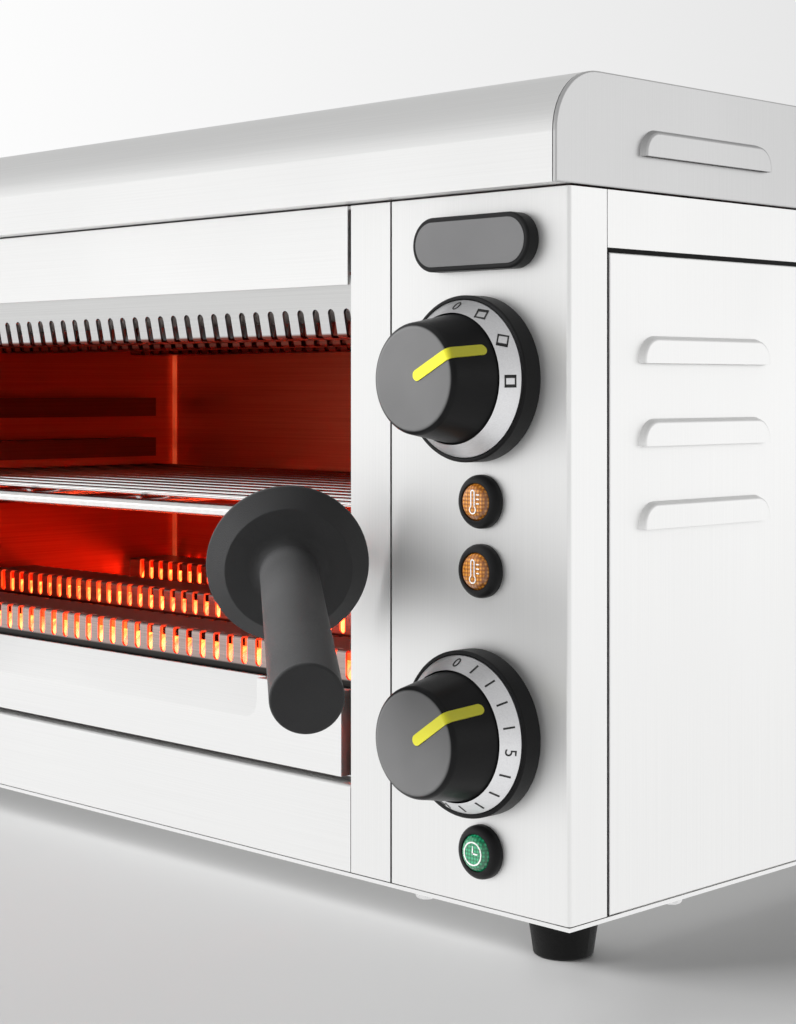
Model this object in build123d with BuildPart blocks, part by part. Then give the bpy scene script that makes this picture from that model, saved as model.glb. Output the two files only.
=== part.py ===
from build123d import *
from math import cos, radians, sin
import os

os.makedirs("parts", exist_ok=True)

# A countertop salamander grill. All sizes are in millimetres.
# X runs to the right, Y to the back, Z up; the feet stand on Z = 0 and the casing is centred on X and Y.

# Casing
body_width = 440.0
body_depth = 260.0
panel_height = 208.0
sheet = 1.0
base_thickness = 1.2
base_flange = 8.0
flange_end_gap = 6.0
corner_return = 16.5
rail_height = 16.6
cover_gap = 1.4
cover_lap = 6.0
cover_edge_radius = 0.4
bend_radius = 1.2
seam = 0.3
overrun = 3.0

# Front layout
control_width = 71.6
column_width = 17.4
column_hem = 3.0
column_gap = 0.8
control_return = 14.0
header_height = 24.5
header_end_gap = 1.6
header_flange = 18.0
plinth_height = 27.3
plinth_flange = 18.0

# Lid
lid_gap = 0.6
lid_height = 32.7
lid_overhang = 6.3
lid_radius = 18.5
lid_hem = 8.0
lid_end_sheet = 1.2
lid_end_edge = 0.5
lid_end_proud = 0.5

# Louvres pressed into the side covers and the lid's ends
louvre_length = 64.4
louvre_height = 8.0
louvre_depth = 2.2
louvre_corner = 7.0
louvre_taper = 22.0
louvre_round = 0.9
louvre_inset = 14.5
louvre_rows = 3
louvre_pitch = 24.25
louvre_top_drop = 31.6
lid_louvre_rise = 10.1

# Rear vents
vent_length = 46.0
vent_width = 3.2
vent_pitch = 9.0
vent_count = 12
vent_drop = 48.0
vent_spread = 120.0

# Chamber
chamber_depth = 194.0
shelf_setback = 6.0

# Heating elements and their slotted guards
guard_web = 25.0
upper_guard_web = 21.0
upper_guard_flare = 4.0
guard_height = 19.5
guard_sheet = 0.8
guard_bend = 1.1
guard_slot_width = 3.1
guard_slot_length = 9.2
guard_slot_wrap = 3.5
guard_slot_pitch = 7.35
guard_end_margin = 6.0
guard_pitch = 79.7
guard_rows = 3
lower_guard_setback = 19.9
upper_guard_setback = 18.6
lower_guard_rise = 67.5
upper_guard_drop = 40.8
tube_diameter = 10.0
tube_wall = 1.0
tube_depth = 10.6
tube_hole_gap = 0.3
coil_diameter = 7.0
cap_diameter = 18.0
cap_length = 10.0
cap_socket = 6.0
socket_gap = 0.05

# Rack and its ledges
ledge_width = 9.0
ledge_drop = 9.0
ledge_count = 3
ledge_pitch = 19.55
ledge_setback = 18.0
ledge_back_gap = 18.0
rack_level = 107.2
rack_lift = 0.3
rack_wire = 4.5
rack_side_gap = 1.5
rack_setback = 5.0
rack_back_gap = 6.0
rack_corner = 12.0
grid_wire = 2.3
grid_count = 12
grid_overhang = 1.6
cross_wire = 3.0
cross_count = 4
cross_pitch = 70.0
cross_sink = 0.3
weld_gap = 0.05

# Rack handles
handle_inset = 38.4
handle_drop = 1.8
handle_splay = 51.0
handle_droop = 13.0
handle_reach = 45.7
stem_diameter = 7.0
stem_depth = 45.0
stem_bore_gap = 0.03
handle_guard_diameter = 49.6
handle_guard_rim = 1.6
handle_guard_thickness = 7.0
handle_guard_edge = 0.6
handle_face_diameter = 38.5
handle_collar = 3.5
grip_base_diameter = 17.6
grip_end_diameter = 19.2
grip_length = 103.0
grip_edge = 0.8

# Crumb tray
tray_gap = 1.9
tray_front_height = 26.8
tray_front_depth = 5.5
tray_side_gap = 4.5
tray_lift = 0.3
tray_wall_height = 11.0
tray_back_gap = 3.0
scoop_height = 13.2
scoop_depth = 4.3
scoop_corner = 6.0
scoop_margin = 40.5
pocket_rise = 2.0

# Knobs, dials and what they turn
knob_inset = 35.0
selector_drop = 54.2
timer_rise = 50.6
knob_base_diameter = 37.4
knob_cap_diameter = 31.6
knob_skirt = 11.0
knob_length = 27.2
knob_lift = 0.8
knob_edge = 2.0
dial_outer_diameter = 48.6
dial_depth = 6.5
dial_rim = 1.4
dial_edge = 0.6
dial_hole_gap = 0.4
scale_thickness = 0.8
scale_rise = 5.0
scale_gap = 0.1
pointer_width = 3.2
pointer_depth = 0.8
pointer_proud = 0.2
pointer_start = 0.5
pointer_foot = 14.0
inlay_gap = 0.05
selector_angle = 63.0
timer_angle = 56.0
shaft_diameter = 6.0
shaft_gap = 0.05
shaft_grip = 16.0
shaft_tail = 10.0
bush_diameter = 9.6
bush_proud = 0.5
bush_hole_gap = 0.2
switch_width = 34.0
switch_height = 32.0
switch_depth = 27.0
timer_diameter = 46.0
timer_depth = 26.0

# Pilot lamps
lamp_inset = 33.0
upper_lamp_drop = 90.0
lower_lamp_drop = 110.2
timer_lamp_rise = 15.9
lamp_diameter = 15.8
lamp_proud = 3.4
lamp_edge = 2.2
lens_diameter = 11.0
lens_proud = 4.4
lens_crown = 2.4
lens_gap = 0.05
lamp_body_diameter = 9.6
lamp_body_length = 24.0
lamp_nut_diameter = 15.0
lamp_nut_thickness = 3.0

# Badge
badge_width = 46.2
badge_height = 16.2
badge_depth = 4.6
badge_inset = 34.5
badge_drop = 14.5
badge_edge = 0.8

# Feet and screws
foot_height = 11.7
foot_top_diameter = 21.0
foot_bottom_diameter = 17.4
foot_inset = 15.2
foot_edge = 1.0
foot_recess_diameter = 9.4
foot_recess_depth = 5.0
foot_screw_diameter = 4.0
foot_screw_head = 7.6
foot_screw_head_height = 3.0
foot_screw_edge = 1.0
screw_diameter = 3.0
screw_head_diameter = 6.4
screw_head_height = 2.0
screw_head_edge = 1.2
screw_length = 6.0
screw_gap = 0.05
screw_edge_inset = 8.0
base_screw_inset = 4.5
base_screw_x = 159.4
base_screw_y = 77.5
back_screw_rise = 30.0

# Supply side
terminal_width = 42.0
terminal_depth = 20.0
terminal_height = 17.0
terminal_back_gap = 40.0
terminal_ridge = 4.0
gland_rise = 32.0
gland_diameter = 15.8
gland_flange = 22.0
gland_flange_thickness = 3.0
gland_dome = 7.0
gland_tail = 10.0
gland_edge = 2.5
wire_diameter = 2.6
wire_bend = 12.0
wire_spacing = 7.0
wire_gap = 0.3
wire_rise = 9.0
wire_run = 60.0

# Places that follow from the sizes above
front = -body_depth / 2
back = body_depth / 2
side = body_width / 2
base_bottom = foot_height
base_top = base_bottom + base_thickness
panel_bottom = base_top + seam
panel_top = panel_bottom + panel_height
control_left = side - control_width
chamber_right = control_left - column_width
chamber_left = -side + column_width
chamber_middle = (chamber_left + chamber_right) / 2
wall_right = chamber_right + sheet
wall_left = chamber_left - sheet
chamber_back_face = front + chamber_depth
chamber_front = front + column_hem + sheet
header_bottom = panel_top - header_height
plinth_top = panel_bottom + plinth_height
shelf_top = plinth_top + sheet
return_edge = back - corner_return
cover_edge = return_edge - cover_gap
rail_bottom = panel_top - rail_height
cover_top = rail_bottom - cover_gap
backing_edge = cover_edge - cover_lap
lid_bottom = panel_top + lid_gap
lid_top = lid_bottom + lid_height
lower_web = panel_bottom + lower_guard_rise
upper_web = panel_top - upper_guard_drop
lower_tube_z = lower_web - tube_depth
upper_tube_z = upper_web + tube_depth
ceiling_bottom = upper_web + guard_height
knob_x = side - knob_inset
selector_z = panel_top - selector_drop
timer_z = panel_bottom + timer_rise
lamp_x = side - lamp_inset
amber_lamp_zs = [panel_top - upper_lamp_drop, panel_top - lower_lamp_drop]
green_lamp_z = panel_bottom + timer_lamp_rise
lamp_zs = amber_lamp_zs + [green_lamp_z]
foot_places = [
    (across * (side - foot_inset), along * (back - foot_inset))
    for across in (-1, 1)
    for along in (-1, 1)
]


def finish(piece, name):
    """Label a finished piece and write its file."""
    piece.part.label = name
    export_step(piece.part, f"parts/{name}.step")


def slab(low, high, mode=Mode.ADD):
    """A box between two opposite corners."""
    middle = tuple((a + b) / 2 for a, b in zip(low, high))
    size = [b - a for a, b in zip(low, high)]
    with Locations(middle):
        Box(*size, mode=mode)


def turned(x, z, outline):
    """Turn an outline of (radius, distance out of the front) about a line square to the front."""
    place = Plane(origin=(x, front, z), x_dir=(1, 0, 0), z_dir=(0, 0, -1))
    with BuildSketch(place) as section:
        with BuildLine():
            Polyline(*outline, close=True)
        make_face()
    revolve(section.sketch, axis=Axis((x, front, z), (0, -1, 0)))


def rod(radius, start, end, mode=Mode.ADD):
    """A straight round rod between two points."""
    run = Vector(*end) - Vector(*start)
    with BuildSketch(Plane(origin=start, z_dir=run)) as section:
        Circle(radius)
    extrude(section.sketch, amount=run.length, mode=mode)


def front_edges(piece):
    """The round edges of a piece that stand furthest out of the front."""
    return piece.edges().filter_by(GeomType.CIRCLE).group_by(Axis.Y)[0]


def press_louvres(face, places):
    """Hoods pressed out of a sheet along a face plane, each open along its straight lower edge."""
    inner_length = louvre_length - 2 * sheet
    inner_height = louvre_height - sheet
    inner_corner = louvre_corner - sheet
    low_places = [(x, y - louvre_height) for x, y in places]
    with BuildSketch(face) as section:
        with Locations(*places):
            RectangleRounded(louvre_length, 2 * louvre_height, louvre_corner)
    extrude(section.sketch, amount=louvre_depth, taper=louvre_taper)
    fillet(faces().group_by(Axis.X)[-1].edges(), louvre_round)
    with BuildSketch(face) as section:
        with Locations(*places):
            RectangleRounded(inner_length, 2 * inner_height, inner_corner)
    extrude(section.sketch, amount=louvre_depth - sheet, taper=louvre_taper, mode=Mode.SUBTRACT)
    with BuildSketch(face) as section:
        with Locations(*low_places):
            Rectangle(louvre_length + overrun, 2 * louvre_height)
    extrude(section.sketch, amount=louvre_depth + overrun, mode=Mode.SUBTRACT)
    with BuildSketch(face) as section:
        with Locations(*places):
            RectangleRounded(inner_length, 2 * inner_height, inner_corner)
        with Locations(*low_places):
            Rectangle(louvre_length + overrun, 2 * louvre_height, mode=Mode.SUBTRACT)
    extrude(section.sketch, amount=-(lid_end_sheet + overrun), mode=Mode.SUBTRACT)


def guard_channel(middle_y, web_z, web, flare, rise):
    """A slotted channel from wall to wall; its legs run up from the web (rise 1) or down (rise -1)."""
    half = web / 2
    leg_end = web_z + rise * guard_height
    web_inside = web_z + rise * guard_sheet
    outline = [
        (-half - flare, leg_end),
        (-half, web_z),
        (half, web_z),
        (half + flare, leg_end),
        (half + flare - guard_sheet, leg_end),
        (half - guard_sheet, web_inside),
        (-half + guard_sheet, web_inside),
        (-half - flare + guard_sheet, leg_end),
    ]
    with BuildSketch(Plane.YZ.offset(wall_left)) as section:
        with BuildLine():
            Polyline(*[(middle_y + y, z) for y, z in outline], close=True)
        make_face()
    extrude(section.sketch, amount=wall_right - wall_left)
    for along in (-1, 1):
        corner = (chamber_middle, middle_y + along * half, web_z)
        fillet(edges().filter_by(Axis.X).sort_by_distance(corner)[0], guard_bend)
    slot_count = int((wall_right - wall_left - 2 * guard_end_margin) / guard_slot_pitch)
    for along in (-1, 1):
        with BuildSketch(Plane.XZ.offset(-middle_y - along * (half + flare + overrun))) as section:
            with Locations((chamber_middle, web_z)):
                with GridLocations(guard_slot_pitch, 0, slot_count, 1):
                    SlotOverall(2 * guard_slot_length, guard_slot_width, rotation=90)
        extrude(section.sketch, amount=along * (overrun + flare + guard_slot_wrap), mode=Mode.SUBTRACT)


def knob_form(z, grow):
    """A knob's outer form, grown or shrunk all over."""
    with BuildPart() as form:
        turned(
            knob_x,
            z,
            [
                (0, knob_lift),
                (knob_base_diameter / 2 + grow, knob_lift),
                (knob_base_diameter / 2 + grow, knob_skirt),
                (knob_cap_diameter / 2 + grow, knob_length + grow),
                (0, knob_length + grow),
            ],
        )
        fillet(front_edges(form), knob_edge + grow)
    return form.part


def pointer_strip(z, angle, gap):
    """The round-ended strip let into a knob from its cap down its side, or the wider groove that takes it."""
    outside = knob_form(z, pointer_proud)
    inside = knob_form(z, -pointer_depth - gap)
    width = pointer_width + 2 * gap
    low, high = pointer_foot - gap, knob_length + overrun
    inner, outer = pointer_start - gap, knob_base_diameter / 2 + overrun
    with BuildPart() as reach:
        with BuildSketch(Plane.XZ):
            with Locations((0, (inner + outer) / 2)):
                SlotOverall(outer - inner, width, rotation=90)
        extrude(amount=high)
        with BuildSketch(Plane.XY):
            with Locations((0, -(low + high) / 2)):
                SlotOverall(high - low, width, rotation=90)
        extrude(amount=outer, mode=Mode.INTERSECT)
    with BuildPart() as strip:
        add(outside)
        add(inside, mode=Mode.SUBTRACT)
        add(reach.part.moved(Location((knob_x, front, z), (0, angle, 0))), mode=Mode.INTERSECT)
    return strip.part


def bush_and_bore(z):
    """A bush through the panel, and the bore that a knob's shaft turns in."""
    bush_radius = bush_diameter / 2
    turned(knob_x, z, [(0, -sheet), (bush_radius, -sheet), (bush_radius, bush_proud), (0, bush_proud)])
    rod(
        shaft_diameter / 2 + shaft_gap,
        (knob_x, front - bush_proud, z),
        (knob_x, front + sheet + shaft_tail, z),
        mode=Mode.SUBTRACT,
    )


# Base pan: a flat plate with upturned edges inside the panels
base_screw_places = [
    (across * place_x, along * place_y)
    for place_x, place_y in ((base_screw_x, back - base_screw_inset), (side - base_screw_inset, base_screw_y))
    for across in (-1, 1)
    for along in (-1, 1)
]

with BuildPart() as base_pan:
    slab((-side, front, base_bottom), (side, back, base_top))
    for low_x, high_x in ((chamber_left, chamber_right), (control_left, side)):
        slab(
            (low_x + flange_end_gap, front + sheet, base_top),
            (high_x - flange_end_gap, front + 2 * sheet, base_top + base_flange),
        )
    slab(
        (-side + flange_end_gap, back - 2 * sheet, base_top),
        (side - flange_end_gap, back - sheet, base_top + base_flange),
    )
    for low_x in (-side + sheet, side - 2 * sheet):
        slab(
            (low_x, -backing_edge + seam, base_top),
            (low_x + sheet, backing_edge - seam, base_top + base_flange),
        )
    with BuildSketch(Plane.XY.offset(base_bottom)):
        with Locations(*base_screw_places):
            Circle(screw_diameter / 2 + screw_gap)
        with Locations(*foot_places):
            Circle(foot_screw_diameter / 2 + screw_gap)
    extrude(amount=base_thickness, mode=Mode.SUBTRACT)
finish(base_pan, "base_pan")

# Feet: tapered rubber, each with a recess for its screw
with BuildPart() as feet:
    with Locations(*[(*place, foot_height / 2) for place in foot_places]):
        Cone(foot_bottom_diameter / 2, foot_top_diameter / 2, foot_height)
    fillet(feet.edges().group_by(Axis.Z)[0], foot_edge)
    with Locations(*[(*place, foot_recess_depth / 2) for place in foot_places]):
        Cylinder(foot_recess_diameter / 2, foot_recess_depth, mode=Mode.SUBTRACT)
    with Locations(*[(*place, foot_height / 2) for place in foot_places]):
        Cylinder(foot_screw_diameter / 2 + screw_gap, foot_height, mode=Mode.SUBTRACT)
finish(feet, "feet")

with BuildPart() as foot_screws:
    for x, y in foot_places:
        head_bottom = foot_recess_depth - foot_screw_head_height
        rod(foot_screw_head / 2, (x, y, head_bottom), (x, y, foot_recess_depth))
    fillet(foot_screws.edges().group_by(Axis.Z)[0], foot_screw_edge)
    for x, y in foot_places:
        rod(foot_screw_diameter / 2, (x, y, foot_recess_depth), (x, y, base_top))
finish(foot_screws, "foot_screws")

# Back panel: folded at both sides, with vent slots, screw holes and the supply gland's hole
gland_z = panel_bottom + gland_rise
back_screw_places = [
    (x, z)
    for x in (-side + screw_edge_inset, 0, side - screw_edge_inset)
    for z in (panel_bottom + back_screw_rise, panel_top - screw_edge_inset)
]
vent_offsets = [(index - (vent_count - 1) / 2) * vent_pitch for index in range(vent_count)]

with BuildPart() as back_panel:
    slab((-side, back - sheet, panel_bottom), (side, back, panel_top))
    for low_x in (-side, side - sheet):
        slab((low_x, return_edge, panel_bottom), (low_x + sheet, back, panel_top))
    for low_x in (-side + sheet, side - 2 * sheet):
        slab((low_x, backing_edge, panel_bottom), (low_x + sheet, back, panel_top))
    with BuildSketch(Plane.XZ.offset(-back)):
        for middle in (-vent_spread, vent_spread):
            with Locations(*[(middle + offset_x, panel_top - vent_drop) for offset_x in vent_offsets]):
                SlotOverall(vent_length, vent_width, rotation=90)
        with Locations(*back_screw_places):
            Circle(screw_diameter / 2 + screw_gap)
        with Locations((knob_x, gland_z)):
            Circle(gland_diameter / 2 + screw_gap)
    extrude(amount=sheet + overrun, both=True, mode=Mode.SUBTRACT)
finish(back_panel, "back_panel")

# Dome-headed casing screws, under the base and in the back
with BuildPart() as casing_screws:
    for x, y in base_screw_places:
        rod(screw_head_diameter / 2, (x, y, base_bottom), (x, y, base_bottom - screw_head_height))
    fillet(casing_screws.edges().group_by(Axis.Z)[0], screw_head_edge)
    for x, z in back_screw_places:
        rod(screw_head_diameter / 2, (x, back, z), (x, back + screw_head_height, z))
    fillet(casing_screws.edges().group_by(Axis.Y)[-1], screw_head_edge)
    for x, y in base_screw_places:
        rod(screw_diameter / 2, (x, y, base_bottom), (x, y, base_bottom + screw_length))
    for x, z in back_screw_places:
        rod(screw_diameter / 2, (x, back, z), (x, back - screw_length, z))
finish(casing_screws, "casing_screws")

# Plinth and header: the front panels below and above the chamber, each with a flange turned inwards
with BuildPart() as plinth_panel:
    slab((chamber_left + seam, front, panel_bottom), (chamber_right - seam, front + sheet, plinth_top))
    slab(
        (chamber_left + seam, front, plinth_top - sheet),
        (chamber_right - seam, front + plinth_flange, plinth_top),
    )
    top_corner = (chamber_middle, front, plinth_top)
    fillet(plinth_panel.edges().filter_by(Axis.X).sort_by_distance(top_corner)[0], bend_radius)
finish(plinth_panel, "plinth_panel")

with BuildPart() as header_panel:
    slab(
        (chamber_left + header_end_gap, front, header_bottom),
        (chamber_right - header_end_gap, front + sheet, panel_top),
    )
    slab(
        (chamber_left, front + sheet, panel_top - sheet),
        (chamber_right, front + header_flange, panel_top),
    )
finish(header_panel, "header_panel")

# Columns: the upright strips beside the chamber's mouth, hemmed along the chamber
with BuildPart() as right_column:
    slab((chamber_right, front, panel_bottom), (control_left, front + sheet, panel_top))
    slab((chamber_right, front, panel_bottom), (wall_right, chamber_front, panel_top))
finish(right_column, "right_column")

with BuildPart() as left_column:
    slab((-side, front, panel_bottom), (chamber_left, front + sheet, panel_top))
    slab((wall_left, front, panel_bottom), (chamber_left, chamber_front, panel_top))
    slab((-side, front, panel_bottom), (-side + sheet, -return_edge, panel_top))
    slab((-side + sheet, front, panel_bottom), (-side + 2 * sheet, -backing_edge, panel_top))
    fillet(left_column.edges().filter_by(Axis.Z).sort_by_distance((-side, front, 0))[0], bend_radius)
finish(left_column, "left_column")

# Control panel: folded round the right front corner, pierced for two shafts and three lamps
with BuildPart() as control_panel:
    slab((control_left + column_gap, front, panel_bottom), (side, front + sheet, panel_top))
    slab(
        (control_left + column_gap, front, panel_bottom),
        (control_left + column_gap + sheet, front + control_return, panel_top),
    )
    slab((side - sheet, front, panel_bottom), (side, -return_edge, panel_top))
    slab((side - 2 * sheet, front, panel_bottom), (side - sheet, -backing_edge, panel_top))
    fillet(control_panel.edges().filter_by(Axis.Z).sort_by_distance((side, front, 0))[0], bend_radius)
    with BuildSketch(Plane.XZ.offset(-front)):
        with Locations((knob_x, selector_z), (knob_x, timer_z)):
            Circle(bush_diameter / 2 + bush_hole_gap)
        with Locations(*[(lamp_x, z) for z in lamp_zs]):
            Circle(lamp_body_diameter / 2 + bush_hole_gap)
    extrude(amount=sheet + overrun, both=True, mode=Mode.SUBTRACT)
finish(control_panel, "control_panel")

# Side covers with pressed louvres, and the rails that close the sides above them, backed behind each gap
louvre_y = return_edge - louvre_inset - louvre_length / 2
cover_louvres = [
    (along * louvre_y, cover_top - louvre_top_drop - row * louvre_pitch)
    for along in (-1, 1)
    for row in range(louvre_rows)
]

with BuildPart() as side_cover_right:
    slab((side - sheet, -cover_edge, panel_bottom), (side, cover_edge, cover_top))
    outer_face = side_cover_right.faces().sort_by(Axis.X)[-1]
    fillet(outer_face.edges(), cover_edge_radius)
    press_louvres(Plane.YZ.offset(side), cover_louvres)
finish(side_cover_right, "side_cover_right")

with BuildPart() as side_cover_left:
    mirror(side_cover_right.part, about=Plane.YZ)
finish(side_cover_left, "side_cover_left")

with BuildPart() as side_rail_right:
    slab((side - sheet, -return_edge + seam, rail_bottom), (side, return_edge - seam, panel_top))
    slab(
        (side - 2 * sheet, -backing_edge + seam, cover_top - cover_lap),
        (side - sheet, backing_edge - seam, panel_top),
    )
finish(side_rail_right, "side_rail_right")

with BuildPart() as side_rail_left:
    mirror(side_rail_right.part, about=Plane.YZ)
finish(side_rail_left, "side_rail_left")

# Lid: one skin bent over the front and back edges, closed by an end plate at each side
lid_depth = body_depth + 2 * lid_overhang
lid_half = side + lid_end_proud - lid_end_sheet - seam

with BuildPart() as lid_skin:
    with BuildSketch(Plane.YZ.offset(-lid_half)) as lid_section:
        with Locations((0, (lid_bottom + lid_top) / 2)):
            Rectangle(lid_depth, lid_height)
        fillet(lid_section.vertices().group_by(Axis.Y)[-1], lid_radius)
        offset(amount=-sheet, mode=Mode.SUBTRACT)
        with Locations((0, lid_bottom)):
            Rectangle(lid_depth - 2 * lid_hem, 2 * sheet + seam, mode=Mode.SUBTRACT)
    extrude(amount=2 * lid_half)
finish(lid_skin, "lid_skin")

with BuildPart() as lid_end_right:
    with BuildSketch(Plane.YZ.offset(lid_half + seam)) as end_section:
        with Locations((0, (lid_bottom + lid_top) / 2)):
            Rectangle(lid_depth, lid_height)
        fillet(end_section.vertices().group_by(Axis.Y)[-1], lid_radius)
    extrude(amount=lid_end_sheet)
    end_face = lid_end_right.faces().sort_by(Axis.X)[-1]
    fillet(end_face.edges(), lid_end_edge)
    press_louvres(
        Plane.YZ.offset(side + lid_end_proud),
        [(along * louvre_y, lid_bottom + lid_louvre_rise) for along in (-1, 1)],
    )
finish(lid_end_right, "lid_end_right")

with BuildPart() as lid_end_left:
    mirror(lid_end_right.part, about=Plane.YZ)
finish(lid_end_left, "lid_end_left")

# Chamber: side walls pierced for the heating tubes, back wall, ceiling, and the crumb tray's shelf
lower_rows = [front + lower_guard_setback + row * guard_pitch for row in range(guard_rows)]
upper_rows = [front + upper_guard_setback + row * guard_pitch for row in range(guard_rows)]
tube_places = [(y, lower_tube_z) for y in lower_rows] + [(y, upper_tube_z) for y in upper_rows]

with BuildPart() as chamber_wall_right:
    slab((wall_right, front + sheet, base_top), (wall_right + sheet, chamber_back_face + sheet, panel_top))
    with BuildSketch(Plane.YZ.offset(wall_right)):
        with Locations(*tube_places):
            Circle(tube_diameter / 2 + tube_hole_gap)
    extrude(amount=sheet + overrun, both=True, mode=Mode.SUBTRACT)
finish(chamber_wall_right, "chamber_wall_right")

with BuildPart() as chamber_wall_left:
    mirror(chamber_wall_right.part, about=Plane.YZ.offset(chamber_middle))
finish(chamber_wall_left, "chamber_wall_left")

with BuildPart() as chamber_back:
    slab(
        (wall_left, chamber_back_face, base_top),
        (wall_right, chamber_back_face + sheet, ceiling_bottom + sheet),
    )
finish(chamber_back, "chamber_back")

with BuildPart() as chamber_ceiling:
    slab(
        (wall_left, chamber_front, ceiling_bottom),
        (wall_right, chamber_back_face, ceiling_bottom + sheet),
    )
finish(chamber_ceiling, "chamber_ceiling")

with BuildPart() as tray_shelf:
    slab((wall_left, front + shelf_setback, plinth_top), (wall_right, chamber_back_face, shelf_top))
finish(tray_shelf, "tray_shelf")

# Guards: slotted channels over the lower tubes and under the upper ones
with BuildPart() as lower_guard_front:
    guard_channel(lower_rows[0], lower_web, guard_web, 0, -1)
finish(lower_guard_front, "lower_guard_front")

with BuildPart() as upper_guard_front:
    guard_channel(upper_rows[0], upper_web, upper_guard_web, upper_guard_flare, 1)
finish(upper_guard_front, "upper_guard_front")

for level, first_guard in (("lower", lower_guard_front), ("upper", upper_guard_front)):
    for steps, place in ((1, "middle"), (2, "rear")):
        with BuildPart() as next_guard:
            with Locations((0, steps * guard_pitch, 0)):
                add(first_guard.part)
        finish(next_guard, f"{level}_guard_{place}")

# Heating elements: quartz tubes with a coil in each, held in ceramic caps outside the chamber walls
cap_right = wall_right + sheet
cap_left = wall_left - sheet

with BuildPart() as quartz_tubes:
    for y, z in tube_places:
        tube_start = (cap_left - cap_socket + seam, y, z)
        tube_end = (cap_right + cap_socket - seam, y, z)
        rod(tube_diameter / 2, tube_start, tube_end)
        rod(tube_diameter / 2 - tube_wall, tube_start, tube_end, mode=Mode.SUBTRACT)
finish(quartz_tubes, "quartz_tubes")

with BuildPart() as heating_coils:
    for y, z in tube_places:
        rod(coil_diameter / 2, (cap_left, y, z), (cap_right, y, z))
finish(heating_coils, "heating_coils")

with BuildPart() as tube_end_caps:
    for y, z in tube_places:
        for start, outwards in ((cap_right, 1), (cap_left, -1)):
            rod(cap_diameter / 2, (start, y, z), (start + outwards * cap_length, y, z))
            rod(
                tube_diameter / 2 + socket_gap,
                (start, y, z),
                (start + outwards * cap_socket, y, z),
                mode=Mode.SUBTRACT,
            )
finish(tube_end_caps, "tube_end_caps")

# Rack ledges: folded strips on both chamber walls
with BuildPart() as rack_ledges_right:
    for level in range(ledge_count):
        ledge_top = panel_bottom + rack_level + level * ledge_pitch
        ledge_inner = wall_right - ledge_width
        slab(
            (ledge_inner, front + ledge_setback, ledge_top - sheet),
            (wall_right, chamber_back_face - ledge_back_gap, ledge_top),
        )
        slab(
            (ledge_inner, front + ledge_setback, ledge_top - ledge_drop),
            (ledge_inner + sheet, chamber_back_face - ledge_back_gap, ledge_top),
        )
finish(rack_ledges_right, "rack_ledges_right")

with BuildPart() as rack_ledges_left:
    mirror(rack_ledges_right.part, about=Plane.YZ.offset(chamber_middle))
finish(rack_ledges_left, "rack_ledges_left")

# Rack: a round wire frame with cross wires, and a grid of thinner wires lying on it
rack_z = panel_bottom + rack_level + rack_lift + rack_wire / 2
rack_left = chamber_left + rack_side_gap + rack_wire / 2
rack_right = chamber_right - rack_side_gap - rack_wire / 2
rack_front = front + rack_setback
rack_back = chamber_back_face - rack_back_gap - rack_wire / 2
cross_z = rack_z + rack_wire / 2 - cross_wire / 2 - cross_sink
grid_z = rack_z + rack_wire / 2 + weld_gap + grid_wire / 2
grid_pitch = (rack_back - rack_front) / (grid_count + 1)

with BuildPart() as rack_frame:
    with BuildLine() as rack_loop:
        FilletPolyline(
            (rack_left, rack_front, rack_z),
            (rack_right, rack_front, rack_z),
            (rack_right, rack_back, rack_z),
            (rack_left, rack_back, rack_z),
            radius=rack_corner,
            close=True,
        )
    with BuildSketch(Plane(origin=rack_loop.line @ 0, z_dir=rack_loop.line % 0)):
        Circle(rack_wire / 2)
    sweep()
    for index in range(cross_count):
        cross_x = chamber_middle + (index - (cross_count - 1) / 2) * cross_pitch
        rod(cross_wire / 2, (cross_x, rack_front, cross_z), (cross_x, rack_back, cross_z))
finish(rack_frame, "rack_frame")

with BuildPart() as rack_wires:
    for index in range(grid_count):
        wire_y = rack_front + (index + 1) * grid_pitch
        rod(
            grid_wire / 2,
            (rack_left - grid_overhang, wire_y, grid_z),
            (rack_right + grid_overhang, wire_y, grid_z),
        )
finish(rack_wires, "rack_wires")

# Rack handles: a steel stem welded to the front bar, and a moulded grip with a round hand guard
splay = radians(handle_splay)
droop = radians(handle_droop)
handle_axis = Vector(sin(splay) * cos(droop), -cos(splay) * cos(droop), -sin(droop))
handle_side = Vector(cos(splay), sin(splay), 0)
stem_root = Vector(chamber_right - handle_inset, rack_front, rack_z - handle_drop)
guard_root = stem_root + handle_axis * handle_reach
stem_tip = guard_root + handle_axis * stem_depth
handle_plane = Plane(origin=guard_root, x_dir=handle_side, z_dir=handle_side.cross(handle_axis))

with BuildPart() as handle_stem_right:
    rod(stem_diameter / 2, stem_root, stem_tip)
    rod(
        rack_wire / 2 + weld_gap,
        (rack_right, rack_front, rack_z),
        (chamber_middle, rack_front, rack_z),
        mode=Mode.SUBTRACT,
    )
finish(handle_stem_right, "handle_stem_right")

guard_radius = handle_guard_diameter / 2
face_radius = handle_face_diameter / 2
grip_base = (grip_base_diameter / 2, handle_guard_thickness)
grip_tip = (grip_end_diameter / 2, handle_guard_thickness + grip_length)

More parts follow.
